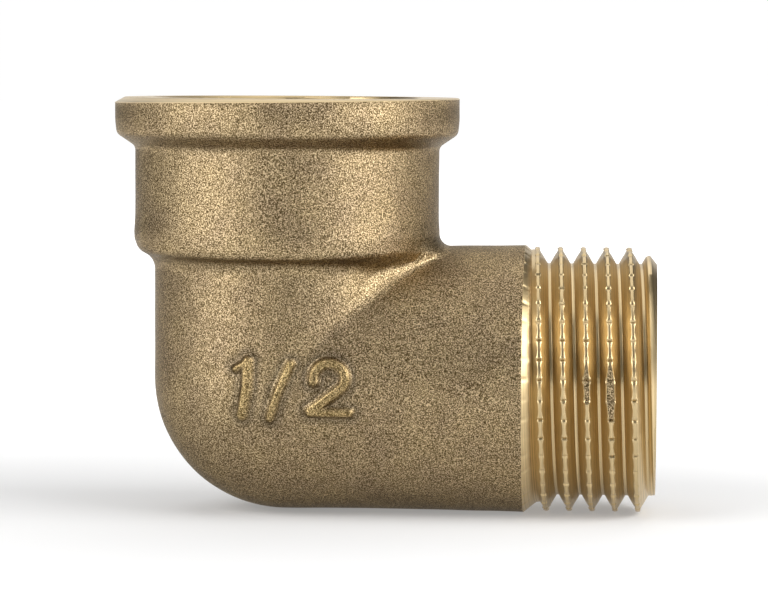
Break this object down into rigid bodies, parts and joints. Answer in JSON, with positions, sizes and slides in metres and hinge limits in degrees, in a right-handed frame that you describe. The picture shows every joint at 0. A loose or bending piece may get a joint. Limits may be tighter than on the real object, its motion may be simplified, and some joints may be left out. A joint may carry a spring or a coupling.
{
  "type": "threaded elbow",
  "caption": "Right-angle brass pipe elbow with a rimmed female threaded socket and a male threaded leg, for turning a water line through a corner.",
  "frame": {"origin": "where the socket's axis and the male leg's axis cross, at the inner end of the leg's waterway", "axes": "+X along the male leg, out of its end; +Z along the female socket, out of its mouth"},
  "size_m": [0.0431, 0.0274, 0.0328],
  "materials": {
    "brass": "dull shot-blasted forging skin, bright turned metal on the threads, end faces and bores"
  },
  "bodies": {
    "root": {"elbow": "brass"}
  },
  "joints": []
}
